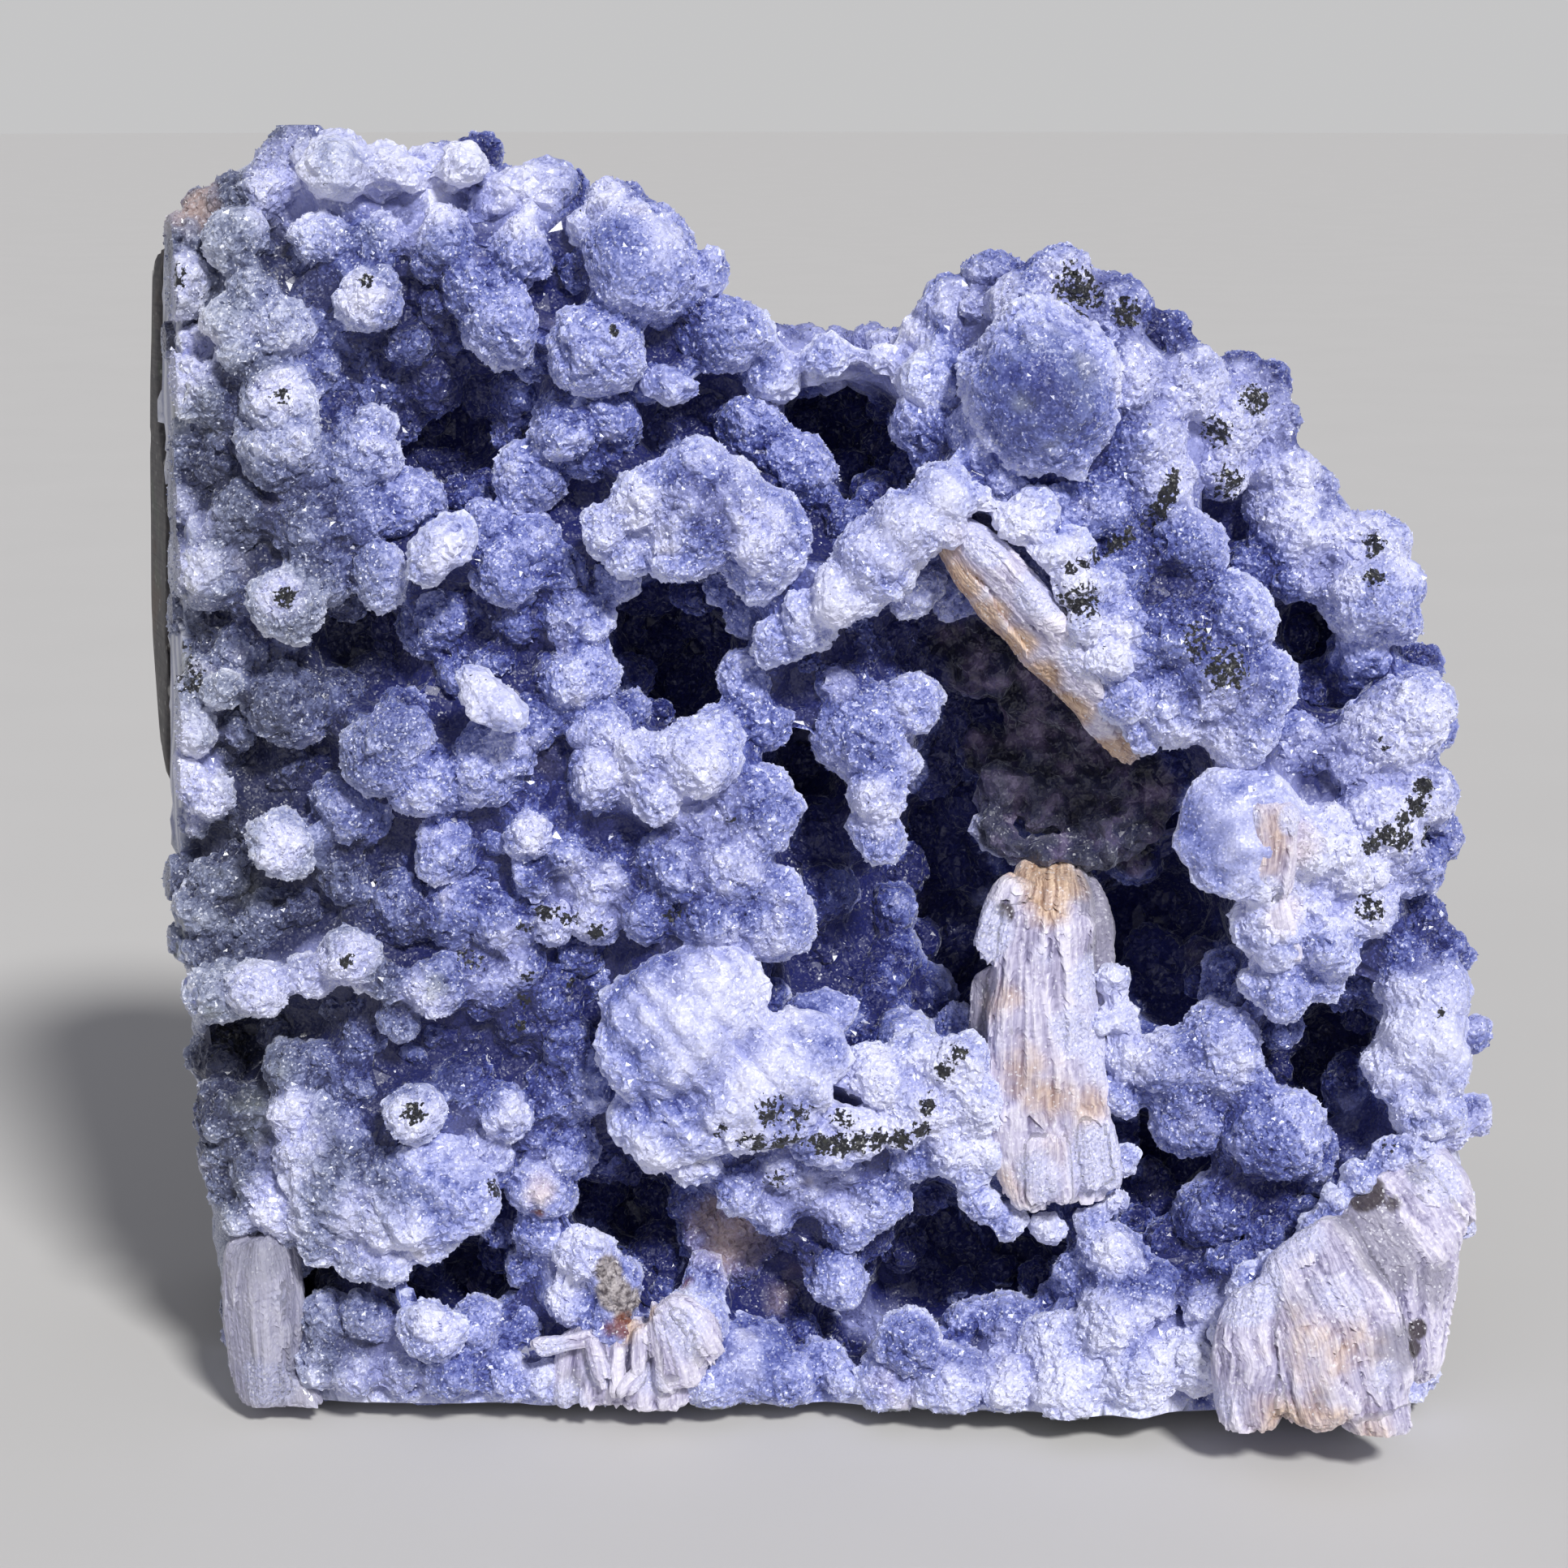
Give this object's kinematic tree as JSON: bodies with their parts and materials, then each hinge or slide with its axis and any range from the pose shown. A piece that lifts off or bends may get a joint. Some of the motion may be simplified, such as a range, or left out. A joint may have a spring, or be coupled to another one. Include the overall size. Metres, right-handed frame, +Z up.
{
  "type": "mineral specimen",
  "caption": "Block of lumpy lavender-blue chalcedony with a sugary quartz coat, pits and a deep hollow, cream stilbite blades, dark basalt behind and a flat sawn base.",
  "frame": {"origin": "under the middle of the specimen's box, on the plane of the sawn base", "axes": "+Z up, -Y out of the crystal-covered front, +X to the right of a viewer who looks at the front"},
  "size_m": [0.1774, 0.0875, 0.1677],
  "materials": {
    "chalcedony": "fine sparkling druse of quartz grains over translucent lavender-blue chalcedony",
    "stilbite": "pearly cream fibrous blades with ochre parts",
    "basalt": "dull, rough and broken, sawn on the left flank and under the base"
  },
  "bodies": {
    "root": {"basalt_matrix": "basalt", "chalcedony_crust": "chalcedony", "stilbite_column": "stilbite", "stilbite_ledge": "stilbite", "stilbite_clear_blade": "stilbite", "stilbite_nodule_sheaf": "stilbite", "stilbite_corner_mass": "stilbite", "stilbite_peach_blade": "stilbite"}
  },
  "joints": []
}
